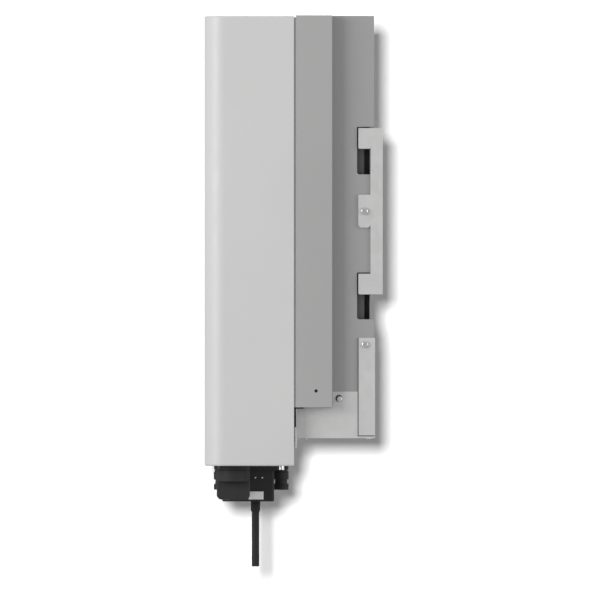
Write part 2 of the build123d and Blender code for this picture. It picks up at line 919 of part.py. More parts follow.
with BuildPart() as signal_gland:
    add(
        turned(
            [
                (0, plate_bottom - 30),
                (6, plate_bottom - 30),
                (10, plate_bottom - 26),
                (10, plate_bottom - 8),
                (11, plate_bottom - 8),
                (11, plate_bottom),
                (signal_neck, plate_bottom),
                (signal_neck, plate_top + 8),
                (0, plate_top + 8),
            ],
            signal_x,
            ac_depth,
        )
    )

with BuildPart() as vent_plug:
    with BuildSketch(at_height(plate_bottom)):
        with Locations((vent_x, -vent_depth)):
            RegularPolygon(radius=8, side_count=6)
    extrude(amount=-7)
    with BuildSketch(at_height(plate_bottom)):
        with Locations((vent_x, -vent_depth)):
            Circle(vent_neck)
    extrude(amount=8)

with BuildPart() as earth_terminal:
    with BuildSketch(at_height(plate_top + 9)):
        with Locations((earth_x, -earth_depth)):
            Circle(earth_radius)
    extrude(amount=plate_bottom - 28.9 - plate_top - 9)
    with BuildSketch(at_height(plate_bottom)):
        with Locations((earth_x, -earth_depth)):
            RegularPolygon(radius=hex_size, side_count=6, major_radius=False)
    extrude(amount=-hex_size)
    with BuildSketch(at_height(plate_top)):
        with Locations((earth_x, -earth_depth)):
            RegularPolygon(radius=hex_size, side_count=6, major_radius=False)
    extrude(amount=hex_size)


# ---- direct-current switch ----

with BuildPart() as dc_switch_base:
    with BuildSketch(at_height(plate_bottom)):
        with Locations((switch_x, -switch_depth)):
            Circle(knob_radius)
    extrude(amount=knob_top + 0.5 - plate_bottom)
    with BuildSketch(at_height(plate_bottom)):
        with Locations((switch_x, -switch_depth)):
            Circle(switch_neck)
    extrude(amount=plate_top - plate_bottom)
    half = switch_body[0] / 2
    add_block(
        (switch_x - half, switch_x + half),
        (switch_depth - half, switch_depth + half),
        (plate_top, plate_top + switch_body[1]),
    )
    with BuildSketch(at_height(knob_top - 1)):
        with Locations((switch_x, -switch_depth)):
            Circle(knob_shaft + running_gap)
    extrude(amount=plate_top + 20 - knob_top, mode=Mode.SUBTRACT)

with BuildPart() as dc_switch_knob:
    with BuildSketch(at_height(knob_bottom)):
        with Locations((switch_x, -switch_depth)):
            Circle(knob_radius)
    extrude(amount=knob_top - knob_bottom)
    fillet(dc_switch_knob.faces().sort_by(Axis.Z)[0].edges(), knob_corner)
    # Cut away on both sides of the grip bar
    for side in (1, -1):
        beside_bar = sorted((switch_x + side * knob_bar_half_width, switch_x + side * (knob_radius + 1)))
        across = (switch_depth - knob_radius - 1, switch_depth + knob_radius + 1)
        add_block(tuple(beside_bar), across, (knob_bottom - 1, knob_bottom + knob_bar_height), Mode.SUBTRACT)
    with BuildSketch(at_height(knob_top)):
        with Locations((switch_x, -switch_depth)):
            Circle(knob_shaft)
    extrude(amount=plate_top + 14 - knob_top)


# ---- communication module and antenna ----

with BuildPart() as comm_module:
    module_middle = -(module_front + module_back) / 2
    with BuildSketch(at_height(module_bottom)) as body:
        with Locations((module_x, module_middle)):
            Rectangle(module_width, module_front - module_back)
        fillet(body.vertices(), 3)
    extrude(amount=plate_bottom - module_cap_height - module_bottom)
    fillet(comm_module.faces().sort_by(Axis.Z)[0].edges(), 2)
    with BuildSketch(at_height(plate_bottom - module_cap_height)) as flange:
        with Locations((module_x, -(module_front + module_flange_back) / 2)):
            Rectangle(module_width + module_flange, module_front - module_flange_back)
        fillet(flange.vertices(), 3)
    extrude(amount=-module_flange)
    with BuildSketch(at_height(plate_bottom - module_cap_height)):
        with Locations((module_x, module_middle)):
            Circle(20)
    extrude(amount=module_cap_height)
    with BuildSketch(at_height(plate_bottom)):
        with Locations((module_x, module_middle)):
            Circle(module_neck)
    extrude(amount=16)
    # A shallow pocket in the side for the rating plate
    add_block(
        (module_x + module_width / 2 - 0.5, module_x + module_width / 2 + 1),
        plate_pocket_depth,
        plate_pocket_z,
        Mode.SUBTRACT,
    )

with BuildPart() as antenna_collar:
    with BuildSketch(at_height(module_bottom)):
        with Locations((module_x, -antenna_depth)):
            Circle(collar_radius)
    extrude(amount=collar_bottom - module_bottom)
    chamfer(antenna_collar.faces().sort_by(Axis.Z)[0].edges(), 2.7, 0.9)

with BuildPart() as antenna_rod:
    with BuildSketch(at_height(collar_bottom)):
        with Locations((module_x, -antenna_depth)):
            Circle(antenna_radius)
    extrude(amount=antenna_bottom - collar_bottom)
    fillet(antenna_rod.faces().sort_by(Axis.Z)[0].edges(), 1.4)


# ---- electronics ----

with BuildPart() as power_board:
    add_block((-210, 210), (board_front - board_sheet, board_front), (board_bottom, board_top))
    with BuildSketch(at_depth(board_front + 1)):
        with GridLocations(standoff_pitch_x, standoff_pitch_z, 4, 2):
            Circle(1.6)
    extrude(amount=-board_sheet - 2, mode=Mode.SUBTRACT)

with BuildPart() as board_standoffs:
    with BuildSketch(at_depth(cavity_rear)):
        with GridLocations(standoff_pitch_x, standoff_pitch_z, 4, 2):
            RegularPolygon(radius=standoff_radius, side_count=6)
    extrude(amount=board_front - board_sheet - cavity_rear)
    with BuildSketch(at_depth(board_front)):
        with GridLocations(220, 160, 2, 2):
            RegularPolygon(radius=standoff_radius, side_count=6)
    extrude(amount=control_front - control_sheet - board_front)
    with BuildSketch(at_depth(cavity_rear)):
        for middle_x, x_pitch in lower_boards:
            with Locations((middle_x, lower_post_z)):
                with GridLocations(x_pitch, 0, 2, 1):
                    RegularPolygon(radius=standoff_radius, side_count=6)
    extrude(amount=lower_board_front - board_sheet - cavity_rear)

with BuildPart() as control_board:
    add_block(
        (-control_half_width, control_half_width),
        (control_front - control_sheet, control_front),
        (-control_half_height, control_half_height),
    )
    with BuildSketch(at_depth(control_front)):
        with Locations((0, 20)):
            Rectangle(30, 30)
        with Locations((-70, -20)):
            Rectangle(18, 40)
        with Locations((75, 10)):
            Rectangle(22, 14)
    extrude(amount=chip_height)
    with BuildSketch(at_depth(control_front)):
        with Locations((0, -84)):
            Rectangle(180, 9)
        with Locations((0, 84)):
            Rectangle(90, 9)
    extrude(amount=header_height)

with BuildPart() as power_modules:
    with BuildSketch(at_depth(cavity_rear)):
        with Locations((0, -12)):
            with GridLocations(module_pitch, 0, 5, 1):
                Rectangle(module_block[0], module_block[1])
    extrude(amount=module_block[2])
    chamfer(power_modules.faces().sort_by(Axis.Y)[0].edges(), 1)

with BuildPart() as dc_link_capacitors:
    with BuildSketch(at_depth(board_front)):
        with Locations((0, 75)):
            with GridLocations(capacitor_pitch, capacitor_pitch, 9, 2):
                Circle(capacitor_radius)
    extrude(amount=capacitor_height)

with BuildPart() as boost_inductors:
    with BuildSketch(at_depth(cavity_rear)):
        with Locations((0, -205)):
            with GridLocations(inductor_pitch, 0, 4, 1):
                Rectangle(inductor_block[0], inductor_block[1])
    extrude(amount=inductor_block[2])
    fillet(boost_inductors.edges().filter_by(Axis.Y), 5)

with BuildPart() as filter_chokes:
    with BuildSketch(at_depth(cavity_rear)):
        with Locations((0, 182)):
            with GridLocations(choke_pitch, 0, 3, 1):
                Circle(choke_radius)
                Circle(choke_bore, mode=Mode.SUBTRACT)
    extrude(amount=choke_height)
    fillet(filter_chokes.faces().sort_by(Axis.Y)[0].edges(), 6)

with BuildPart() as dc_board:
    add_block((-12, 192), (lower_board_front - board_sheet, lower_board_front), lower_board_z)

with BuildPart() as ac_board:
    add_block((-192, -24), (lower_board_front - board_sheet, lower_board_front), lower_board_z)

with BuildPart() as grid_relays:
    with BuildSketch(at_depth(lower_board_front)):
        with Locations((-108, -207)):
            with GridLocations(*relay_pitch, 3, 2):
                Rectangle(relay_block[0], relay_block[1])
    extrude(amount=relay_block[2])

with BuildPart() as surge_modules:
    with BuildSketch(at_depth(lower_board_front)):
        with Locations((90, -190)):
            with GridLocations(surge_pitch, 0, 6, 1):
                Rectangle(surge_block[0], surge_block[1])
    extrude(amount=surge_block[2])

with BuildPart() as dc_terminals:
    strip_half = inlet_pitch * inlet_count / 2
    for depth in inlet_rows.values():
        add_block(
            (inlet_middle - strip_half, inlet_middle + strip_half), (depth - 9, depth + 9), terminal_z
        )

with BuildPart() as ac_terminals:
    add_block((ac_x - 30, ac_x + 30), (ac_depth - 20, ac_depth + 20), (plate_top + 9, plate_top + 42))

with BuildPart() as busbars:
    # Each bar rises from its terminal strip, runs level to the board, and rises again on the board's face
    link_z = terminal_z[1] + 10
    board_face = (lower_board_front, lower_board_front + busbar_sheet)
    half_sheet = busbar_sheet / 2
    for x in range(20, 111, 30):
        for shift, depth in zip((0, busbar_width * 1.5), inlet_rows.values()):
            bar = (x + shift - busbar_width / 2, x + shift + busbar_width / 2)
            riser = (depth - half_sheet, depth + half_sheet)
            run = (min(riser[0], board_face[0]), max(riser[1], board_face[1]))
            add_block(bar, riser, (terminal_z[1], link_z))
            add_block(bar, run, (link_z, link_z + busbar_sheet))
            add_block(bar, board_face, (link_z, lower_board_z[0] + 12))

with BuildPart() as ribbon_cable:
    add_block((-25, 25), (board_front, control_front - control_sheet), (-58, -57))

with BuildPart() as stir_fan_frame:
    stir_bottom = stir_z - stir_height / 2
    with BuildSketch(at_height(stir_bottom)):
        with Locations((stir_x, -stir_depth)):
            Rectangle(stir_size, stir_size)
            Circle(stir_size / 2 - 1.5, mode=Mode.SUBTRACT)
    extrude(amount=stir_height)
    with BuildSketch(at_height(stir_z + 5.5)):
        with Locations((stir_x, -stir_depth)):
            Circle(stir_hub_radius)
            for angle in (45, -45):
                Rectangle(stir_size - 1, 2.5, rotation=angle)
    extrude(amount=2)
    with BuildSketch(at_height(stir_z - 1)):
        with Locations((stir_x, -stir_depth)):
            Circle(2.5)
            Circle(stir_shaft + running_gap, mode=Mode.SUBTRACT)
    extrude(amount=6.5)
    # The foot that holds it to the back of the housing
    half = stir_size / 2
    foot = (stir_bottom, stir_bottom + 2.5)
    add_block((stir_x - half, stir_x + half), (cavity_rear, stir_depth - half), foot)

with BuildPart() as stir_fan_blade:
    blade_root = Plane(origin=(6.5, 0, 0), x_dir=(0, 1, 0), z_dir=(1, 0, 0))
    with BuildSketch(blade_root):
        Rectangle(6, 1, rotation=45)
    with BuildSketch(blade_root.offset(8.5)):
        Rectangle(9, 0.8, rotation=32)
    loft()

with BuildPart() as stir_fan_rotor:
    with BuildSketch(at_height(stir_z - 6)):
        with Locations((stir_x, -stir_depth)):
            Circle(stir_hub_radius)
    extrude(amount=10)
    with BuildSketch(at_height(stir_z - 4.5)):
        with Locations((stir_x, -stir_depth)):
            Circle(stir_hub_radius - 1.5)
    extrude(amount=10, mode=Mode.SUBTRACT)
    with BuildSketch(at_height(stir_z - 4.5)):
        with Locations((stir_x, -stir_depth)):
            Circle(stir_shaft)
    extrude(amount=9)
    with Locations((stir_x, -stir_depth, stir_z - 1)):
        with PolarLocations(0, 7):
            add(stir_fan_blade.part)


# ---- every finished piece, labelled and written ----

pieces = {
    "front_cover": front_cover,
    "status_window": status_window,
    "lid_gasket": lid_gasket,
    "cover_posts": cover_posts,
    "cover_screws": cover_screws,
    "main_housing": main_housing,
    "heat_sink": heat_sink,
    "heat_sink_fins": heat_sink_fins,
    "duct_side_right": duct_side(1),
    "duct_side_left": duct_side(-1),
    "duct_rear_panel": duct_rear_panel,
    "outlet_grille": outlet_grille,
    "fan_tray": fan_tray,
    "guard_screws": guard_screws,
    "rear_strip_right": rear_strip(1),
    "rear_strip_left": rear_strip(-1),
    "wall_bracket": wall_bracket,
    "lock_screws": side_screws(bracket_half_width, lock_screw, 4.8, 3.2, 11.5),
    "strip_screws": side_screws(tray_outer + strip_sheet, strip_screw, 4.4, 2.8, 10.0),
    "tray_screws": side_screws(tray_outer, tray_screw, 3.6, 2.8, 9.0),
    "connection_box": connection_box,
    "tray_seal": tray_seal,
    "connector_plate": connector_plate,
    "inlets_positive": inlet_row(positive_depth),
    "inlets_negative": inlet_row(negative_depth),
    "inlet_caps": inlet_caps,
    "inlet_nuts": inlet_nuts,
    "ac_connector": ac_connector,
    "ac_gland_nut": ac_gland_nut,
    "signal_gland": signal_gland,
    "vent_plug": vent_plug,
    "earth_terminal": earth_terminal,
    "dc_switch_base": dc_switch_base,
    "dc_switch_knob": dc_switch_knob,
    "comm_module": comm_module,
    "antenna_collar": antenna_collar,
    "antenna_rod": antenna_rod,
    "power_board": power_board,
    "board_standoffs": board_standoffs,
    "control_board": control_board,
    "power_modules": power_modules,
    "dc_link_capacitors": dc_link_capacitors,
    "boost_inductors": boost_inductors,
    "filter_chokes": filter_chokes,
    "dc_board": dc_board,
    "ac_board": ac_board,
    "grid_relays": grid_relays,
    "surge_modules": surge_modules,
    "dc_terminals": dc_terminals,
    "ac_terminals": ac_terminals,
    "busbars": busbars,
    "ribbon_cable": ribbon_cable,
    "stir_fan_frame": stir_fan_frame,
    "stir_fan_rotor": stir_fan_rotor,
}
for place, x in fan_xs.items():
    pieces[f"fan_frame_{place}"] = fan_frame(x)
    pieces[f"fan_rotor_{place}"] = fan_rotor(x)

for name, piece in pieces.items():
    piece.part.label = name
    export_step(piece.part, f"parts/{name}.step")
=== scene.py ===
import json
import math

import bmesh
import bpy
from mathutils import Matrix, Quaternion, Vector

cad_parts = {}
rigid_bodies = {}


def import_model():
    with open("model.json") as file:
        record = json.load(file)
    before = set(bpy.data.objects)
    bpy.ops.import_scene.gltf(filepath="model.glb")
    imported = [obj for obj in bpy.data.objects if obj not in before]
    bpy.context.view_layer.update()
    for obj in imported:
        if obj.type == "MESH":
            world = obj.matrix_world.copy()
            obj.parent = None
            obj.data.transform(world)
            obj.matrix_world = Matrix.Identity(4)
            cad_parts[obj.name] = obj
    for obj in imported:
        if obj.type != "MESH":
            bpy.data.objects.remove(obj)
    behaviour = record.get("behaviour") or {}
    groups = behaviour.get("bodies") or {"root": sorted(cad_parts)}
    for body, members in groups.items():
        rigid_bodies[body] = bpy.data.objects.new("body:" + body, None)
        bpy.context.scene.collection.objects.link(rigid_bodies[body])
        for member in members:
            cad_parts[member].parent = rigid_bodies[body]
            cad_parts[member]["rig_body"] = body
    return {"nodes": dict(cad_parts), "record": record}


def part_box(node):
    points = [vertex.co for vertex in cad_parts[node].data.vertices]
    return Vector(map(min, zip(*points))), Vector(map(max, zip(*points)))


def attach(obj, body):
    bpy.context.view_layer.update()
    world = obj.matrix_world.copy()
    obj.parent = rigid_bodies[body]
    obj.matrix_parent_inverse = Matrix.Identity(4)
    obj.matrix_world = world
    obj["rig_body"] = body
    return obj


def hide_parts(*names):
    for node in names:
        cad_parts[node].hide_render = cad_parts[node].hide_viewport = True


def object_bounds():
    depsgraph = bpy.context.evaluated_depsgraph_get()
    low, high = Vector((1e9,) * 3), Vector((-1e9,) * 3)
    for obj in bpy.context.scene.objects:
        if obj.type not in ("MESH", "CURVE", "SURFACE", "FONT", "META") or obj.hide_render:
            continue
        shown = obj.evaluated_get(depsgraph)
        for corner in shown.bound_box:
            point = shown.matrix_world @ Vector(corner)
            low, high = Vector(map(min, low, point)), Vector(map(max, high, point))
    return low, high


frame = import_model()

# Looks of a wall-mounted string inverter. Metres, +Z up, front towards -Y, wall at Y = 0.

CAD_LOW, CAD_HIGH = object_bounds()
MM = 0.001


# ---- node helpers ----

def link(tree, source, target):
    tree.links.new(source, target)


def coordinates(tree, stretch=(1, 1, 1)):
    """Object coordinates in metres, scaled along each axis."""
    place = tree.nodes.new("ShaderNodeTexCoord")
    mapping = tree.nodes.new("ShaderNodeMapping")
    mapping.inputs["Scale"].default_value = stretch
    link(tree, place.outputs["Object"], mapping.inputs["Vector"])
    return mapping.outputs["Vector"]


def noise(tree, scale, detail=2.0, stretch=(1, 1, 1), seed=0.0):
    """A noise pattern with this many features to the metre."""
    texture = tree.nodes.new("ShaderNodeTexNoise")
    texture.noise_dimensions = "4D"
    texture.inputs["W"].default_value = seed
    texture.inputs["Scale"].default_value = scale
    texture.inputs["Detail"].default_value = detail
    link(tree, coordinates(tree, stretch), texture.inputs["Vector"])
    return texture.outputs["Fac"]


def cells(tree, scale, feature="F1", stretch=(1, 1, 1)):
    """A cell pattern: the distance from each cell's middle, or its random colour."""
    texture = tree.nodes.new("ShaderNodeTexVoronoi")
    texture.feature = feature
    texture.inputs["Scale"].default_value = scale
    link(tree, coordinates(tree, stretch), texture.inputs["Vector"])
    return texture


def spread(tree, value, low, high, start=0.3, end=0.7):
    """Stretches the middle of a pattern between two values."""
    ranged = tree.nodes.new("ShaderNodeMapRange")
    for name, number in (("From Min", start), ("From Max", end), ("To Min", low), ("To Max", high)):
        ranged.inputs[name].default_value = number
    link(tree, value, ranged.inputs["Value"])
    return ranged.outputs["Result"]


def blend(tree, factor, first, second, mode="MIX"):
    """Mixes two colours, each a socket or an (r, g, b), by a socket or a number."""
    mix = tree.nodes.new("ShaderNodeMix")
    mix.data_type = "RGBA"
    mix.blend_type = mode
    for socket, value in ((mix.inputs["Factor"], factor), (mix.inputs[6], first), (mix.inputs[7], second)):
        if isinstance(value, bpy.types.NodeSocket):
            link(tree, value, socket)
        elif isinstance(value, tuple):
            socket.default_value = (*value, 1)
        else:
            socket.default_value = value
    return mix.outputs[2]


def math_node(tree, operation, first, second):
    step = tree.nodes.new("ShaderNodeMath")
    step.operation = operation
    for socket, value in zip(step.inputs, (first, second)):
        if isinstance(value, bpy.types.NodeSocket):
            link(tree, value, socket)
        else:
            socket.default_value = value
    return step.outputs[0]


def bump(tree, height, distance, under=None):
    """A normal from a height pattern whose full rise is this many metres."""
    bumped = tree.nodes.new("ShaderNodeBump")
    bumped.inputs["Distance"].default_value = distance
    link(tree, height, bumped.inputs["Height"])
    if under is not None:
        link(tree, under, bumped.inputs["Normal"])
    return bumped.outputs["Normal"]


def grey(value, tint=(1.0, 1.0, 1.0)):
    return tuple(value * part for part in tint)


def new_material(name, metallic=0.0, roughness=0.5, specular=0.5, coat=0.0):
    material = bpy.data.materials.new(name)
    material.use_nodes = True
    tree = material.node_tree
    shader = tree.nodes["Principled BSDF"]
    shader.inputs["Metallic"].default_value = metallic
    shader.inputs["Roughness"].default_value = roughness
    shader.inputs["Specular IOR Level"].default_value = specular
    shader.inputs["Coat Weight"].default_value = coat
    return material, tree, shader


# ---- materials ----

def powder_coat(name, value, tint, peel=650.0, depth=0.03 * MM, roughness=0.42):
    """Baked powder paint: orange peel, fine speckle and a slight unevenness of colour."""
    material, tree, shader = new_material(name, roughness=roughness, specular=0.45)
    broad = spread(tree, noise(tree, 5.0, 3.0), 0.0, 1.0)
    base = blend(tree, broad, grey(value * 0.975, tint), grey(value * 1.02, tint))
    speckle = spread(tree, noise(tree, 2600.0, 1.0, seed=2.0), 0.0, 1.0, 0.55, 0.75)
    base = blend(tree, speckle, base, grey(value * 0.93, tint))
    link(tree, base, shader.inputs["Base Color"])
    gloss = spread(tree, noise(tree, 40.0, 4.0, seed=5.0), roughness - 0.05, roughness + 0.07)
    link(tree, gloss, shader.inputs["Roughness"])
    fine = bump(tree, noise(tree, 2600.0, 1.0, seed=7.0), depth * 0.25)
    link(tree, bump(tree, noise(tree, peel, 2.0), depth, fine), shader.inputs["Normal"])
    return material


def galvanised(name, value, tint):
    """Zinc-coated sheet: low-contrast spangle, rolling lines along its height and dull patches."""
    material, tree, shader = new_material(name, metallic=0.15, roughness=0.42, specular=0.5)
    spangle = cells(tree, 95.0, stretch=(1, 1, 0.8)).outputs["Color"]
    flakes = spread(tree, spangle, 0.0, 1.0, 0.1, 0.9)
    base = blend(tree, flakes, grey(value * 0.955, tint), grey(value * 1.03, tint))
    rolled = spread(tree, noise(tree, 1.0, 3.0, stretch=(900, 900, 12)), 0.0, 1.0)
    base = blend(tree, math_node(tree, "MULTIPLY", rolled, 0.35), base, grey(value * 0.93, tint))
    patches = spread(tree, noise(tree, 14.0, 4.0, seed=3.0), 0.0, 0.4, 0.45, 0.75)
    base = blend(tree, patches, base, grey(value * 0.95, tint))
    link(tree, base, shader.inputs["Base Color"])
    link(tree, spread(tree, spangle, 0.36, 0.5, 0.0, 1.0), shader.inputs["Roughness"])
    link(tree, bump(tree, rolled, 0.006 * MM), shader.inputs["Normal"])
    return material


def bright_zinc(name, value=0.72):
    """Plated fasteners: bright, faintly yellow, with turning marks and stained recesses."""
    material, tree, shader = new_material(name, metallic=1.0, roughness=0.3)
    stain = spread(tree, noise(tree, 260.0, 3.0), 0.0, 1.0)
    base = blend(tree, stain, grey(value * 0.9, (1, 0.985, 0.95)), grey(value * 1.08))
    link(tree, base, shader.inputs["Base Color"])
    link(tree, spread(tree, noise(tree, 900.0, 2.0, seed=4.0), 0.22, 0.42), shader.inputs["Roughness"])
    link(tree, bump(tree, noise(tree, 1800.0, 2.0), 0.012 * MM), shader.inputs["Normal"])
    return material


def extruded(name, value, tint):
    """Mill-finish extruded aluminium with die lines along its length."""
    material, tree, shader = new_material(name, metallic=1.0, roughness=0.4)
    lines = spread(tree, noise(tree, 1.0, 4.0, stretch=(1400, 1400, 6)), 0.0, 1.0)
    base = blend(tree, lines, grey(value * 0.86, tint), grey(value * 1.06, tint))
    dull = spread(tree, noise(tree, 22.0, 4.0, seed=8.0), 0.0, 0.5, 0.4, 0.8)
    base = blend(tree, dull, base, grey(value * 0.8, tint))
    link(tree, base, shader.inputs["Base Color"])
    link(tree, spread(tree, lines, 0.32, 0.5, 0.0, 1.0), shader.inputs["Roughness"])
    link(tree, bump(tree, lines, 0.02 * MM), shader.inputs["Normal"])
    return material


def moulded(name, value, tint=(1, 1, 1), roughness=0.5, grain=1500.0, depth=0.02 * MM, specular=0.45):
    """Injection-moulded plastic: spark-eroded grain, flow marks and a faint bloom."""
    material, tree, shader = new_material(name, roughness=roughness, specular=specular)
    flow = spread(tree, noise(tree, 18.0, 3.0, stretch=(1, 1, 0.4)), 0.0, 1.0)
    base = blend(tree, flow, grey(value * 0.86, tint), grey(value * 1.14, tint))
    bloom = spread(tree, noise(tree, 420.0, 2.0, seed=6.0), 0.0, 0.35, 0.5, 0.8)
    base = blend(tree, bloom, base, grey(value * 1.5, tint))
    link(tree, base, shader.inputs["Base Color"])
    gloss = spread(tree, noise(tree, 60.0, 3.0, seed=1.0), roughness - 0.06, roughness + 0.08)
    link(tree, gloss, shader.inputs["Roughness"])
    link(tree, bump(tree, cells(tree, grain).outputs["Distance"], depth), shader.inputs["Normal"])
    return material


def rubber(name, value=0.045):
    """Matt sealing rubber with a dusty surface."""
    material, tree, shader = new_material(name, roughness=0.82, specular=0.25)
    dust = spread(tree, noise(tree, 300.0, 4.0), 0.0, 1.0, 0.35, 0.75)
    link(tree, blend(tree, dust, grey(value), grey(value * 1.3)), shader.inputs["Base Color"])
    link(tree, bump(tree, noise(tree, 1200.0, 3.0), 0.03 * MM), shader.inputs["Normal"])
    return material


def smoked(name):
    """Smoked glossy window plastic with light surface haze."""
    material, tree, shader = new_material(name, roughness=0.12, specular=0.5, coat=0.6)
    haze = spread(tree, noise(tree, 90.0, 3.0), 0.0, 1.0)
    link(tree, blend(tree, haze, (0.018, 0.02, 0.023), (0.03, 0.033, 0.037)), shader.inputs["Base Color"])
    link(tree, spread(tree, noise(tree, 500.0, 2.0), 0.08, 0.18), shader.inputs["Roughness"])
    return material


def circuit(name):
    """Solder resist over copper tracks, with tinned pads in a grid."""
    material, tree, shader = new_material(name, roughness=0.35, specular=0.5, coat=0.25)
    tracks = spread(tree, cells(tree, 180.0, "DISTANCE_TO_EDGE").outputs["Distance"], 1.0, 0.0, 0.03, 0.06)
    base = blend(tree, tracks, (0.012, 0.11, 0.045), (0.03, 0.19, 0.07))
    pads = spread(tree, cells(tree, 260.0).outputs["Distance"], 1.0, 0.0, 0.12, 0.16)
    link(tree, blend(tree, pads, base, (0.62, 0.6, 0.55)), shader.inputs["Base Color"])
    link(tree, pads, shader.inputs["Metallic"])
    link(tree, bump(tree, math_node(tree, "ADD", tracks, pads), 0.04 * MM), shader.inputs["Normal"])
    return material


def sleeve(name):
    """Shrink sleeve over a capacitor can, glossy and slightly rippled."""
    material, tree, shader = new_material(name, roughness=0.25, specular=0.5, coat=0.3)
    ripple = spread(tree, noise(tree, 160.0, 3.0), 0.0, 1.0)
    link(tree, blend(tree, ripple, (0.018, 0.024, 0.045), (0.03, 0.04, 0.07)), shader.inputs["Base Color"])
    link(tree, bump(tree, ripple, 0.06 * MM), shader.inputs["Normal"])
    return material


def winding(name):
    """Enamelled winding under potting varnish: close turns seen through a dark coat."""
    material, tree, shader = new_material(name, roughness=0.5, specular=0.4, coat=0.2)
    waves = tree.nodes.new("ShaderNodeTexWave")
    waves.inputs["Scale"].default_value = 180.0
    waves.inputs["Distortion"].default_value = 1.5
    link(tree, coordinates(tree), waves.inputs["Vector"])
    varnished = blend(tree, waves.outputs["Fac"], (0.03, 0.028, 0.026), (0.1, 0.07, 0.045))
    link(tree, varnished, shader.inputs["Base Color"])
    link(tree, bump(tree, waves.outputs["Fac"], 0.25 * MM), shader.inputs["Normal"])
    return material


def lens(name, colour):
    """A moulded lamp lens with a faintly uneven glow."""
    material, tree, shader = new_material(name, roughness=0.2, specular=0.5, coat=0.5)
    glow = spread(tree, noise(tree, 700.0, 2.0), 0.0, 1.0)
    tinted = blend(tree, glow, grey(0.75, colour), grey(1.0, colour))
    link(tree, tinted, shader.inputs["Base Color"])
    link(tree, tinted, shader.inputs["Emission Color"])
    shader.inputs["Emission Strength"].default_value = 0.35
    link(tree, spread(tree, noise(tree, 300.0, 2.0, seed=9.0), 0.15, 0.3), shader.inputs["Roughness"])
    return material


def bare_copper(name):
    """Rolled copper bar, brushed and a little tarnished."""
    material, tree, shader = new_material(name, metallic=1.0, roughness=0.3)
    tarnish = spread(tree, noise(tree, 120.0, 4.0), 0.0, 1.0)
    link(tree, blend(tree, tarnish, (0.78, 0.38, 0.24), (0.52, 0.26, 0.17)), shader.inputs["Base Color"])
    brushed = noise(tree, 1.0, 3.0, stretch=(1800, 1800, 30))
    link(tree, bump(tree, brushed, 0.01 * MM), shader.inputs["Normal"])
    return material


SLOT_MATERIALS = {
    "cover_paint": powder_coat("cover_paint", 0.6, (1.0, 1.0, 0.997)),
    "housing_paint": powder_coat(
        "housing_paint", 0.378, (1.0, 1.0, 0.995), peel=420.0, depth=0.05 * MM, roughness=0.5
    ),
    "duct_paint": powder_coat("duct_paint", 0.335, (1.0, 1.0, 0.998), peel=700.0, roughness=0.46),
    # The heat sink's grey of 0.2 is painted shade: the bare aluminium is darkened to stand for the shade
    # deep inside the duct.
    "sink_aluminium": extruded("sink_aluminium", 0.2, (1.0, 1.0, 1.02)),
    "zinc_steel": galvanised("zinc_steel", 0.585, (1.0, 1.0, 0.995)),
    "screw_steel": bright_zinc("screw_steel"),
    "seal_rubber": rubber("seal_rubber"),
    "black_plastic": moulded("black_plastic", 0.03, roughness=0.6, specular=0.2),
    "black_rubber_plastic": moulded(
        "black_rubber_plastic", 0.02, roughness=0.68, grain=2200.0, specular=0.3
    ),
    "antenna_plastic": moulded(
        "antenna_plastic", 0.017, roughness=0.6, grain=2600.0, depth=0.01 * MM, specular=0.25
    ),
    "fan_plastic": moulded("fan_plastic", 0.016, roughness=0.38, grain=900.0),
    "window_plastic": smoked("window_plastic"),
    "circuit_board": circuit("circuit_board"),
    "capacitor_sleeve": sleeve("capacitor_sleeve"),
    "potted_core": winding("potted_core"),
    "relay_plastic": moulded("relay_plastic", 0.05, (0.9, 1.0, 1.3), roughness=0.4),
    "copper": bare_copper("copper"),
}
slot_of = {part["node"]: part["material_slot"] for part in frame["record"]["subparts"]}
for name, part in frame["nodes"].items():
    for index in range(len(part.material_slots)):
        part.material_slots[index].material = SLOT_MATERIALS[slot_of[name]]


# ---- mesh helpers ----

# A corner sharper than this is rounded, and one sharper than the other is shaded as an edge
SHARP_ANGLE = math.radians(35)
SHADED_ANGLE = math.radians(42)
# Points nearer than this are one point, and faces flatter than this are one face
CAD_JOIN = 0.002 * MM
TURNED_JOIN = 0.001 * MM
FLAT_ANGLE = math.radians(0.1)


def new_piece(name, mesh, slot, body="enclosure", material=None):
    """A finished piece from a bmesh, smooth but for its sharp edges."""
    data = bpy.data.meshes.new(name)
    mesh.to_mesh(data)
    mesh.free()
    data.materials.append(material or SLOT_MATERIALS[slot])
    piece = bpy.data.objects.new(name, data)
    bpy.context.scene.collection.objects.link(piece)
    data.shade_smooth()
    data.set_sharp_from_angle(angle=SHADED_ANGLE)
    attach(piece, body)
    return piece


def soften(mesh, width, clamp=False):
    """Rounds every sharp edge of a closed bmesh by this width, or by less where clamped."""
    joined = [edge for edge in mesh.edges if len(edge.link_faces) == 2]
    edges = [edge for edge in joined if edge.calc_face_angle(0.0) > SHARP_ANGLE]
    bmesh.ops.bevel(
        mesh, geom=edges, offset=width, segments=2, profile=0.5, affect="EDGES", clamp_overlap=clamp
    )


def softened_copy(node, width, clamp=False):
    """A copy of a CAD node with its sharp edges rounded, which stands for the node."""
    source = frame["nodes"][node]
    mesh = bmesh.new()
    mesh.from_mesh(source.data)
    bmesh.ops.remove_doubles(mesh, verts=mesh.verts, dist=CAD_JOIN)
    bmesh.ops.join_triangles(
        mesh, faces=mesh.faces, angle_face_threshold=FLAT_ANGLE, angle_shape_threshold=math.pi
    )
    soften(mesh, width, clamp)
    piece = new_piece(f"{node}_finished", mesh, slot_of[node], source["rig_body"])
    weighted = piece.modifiers.new("weighted", "WEIGHTED_NORMAL")
    weighted.keep_sharp = True
    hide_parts(node)
    return piece


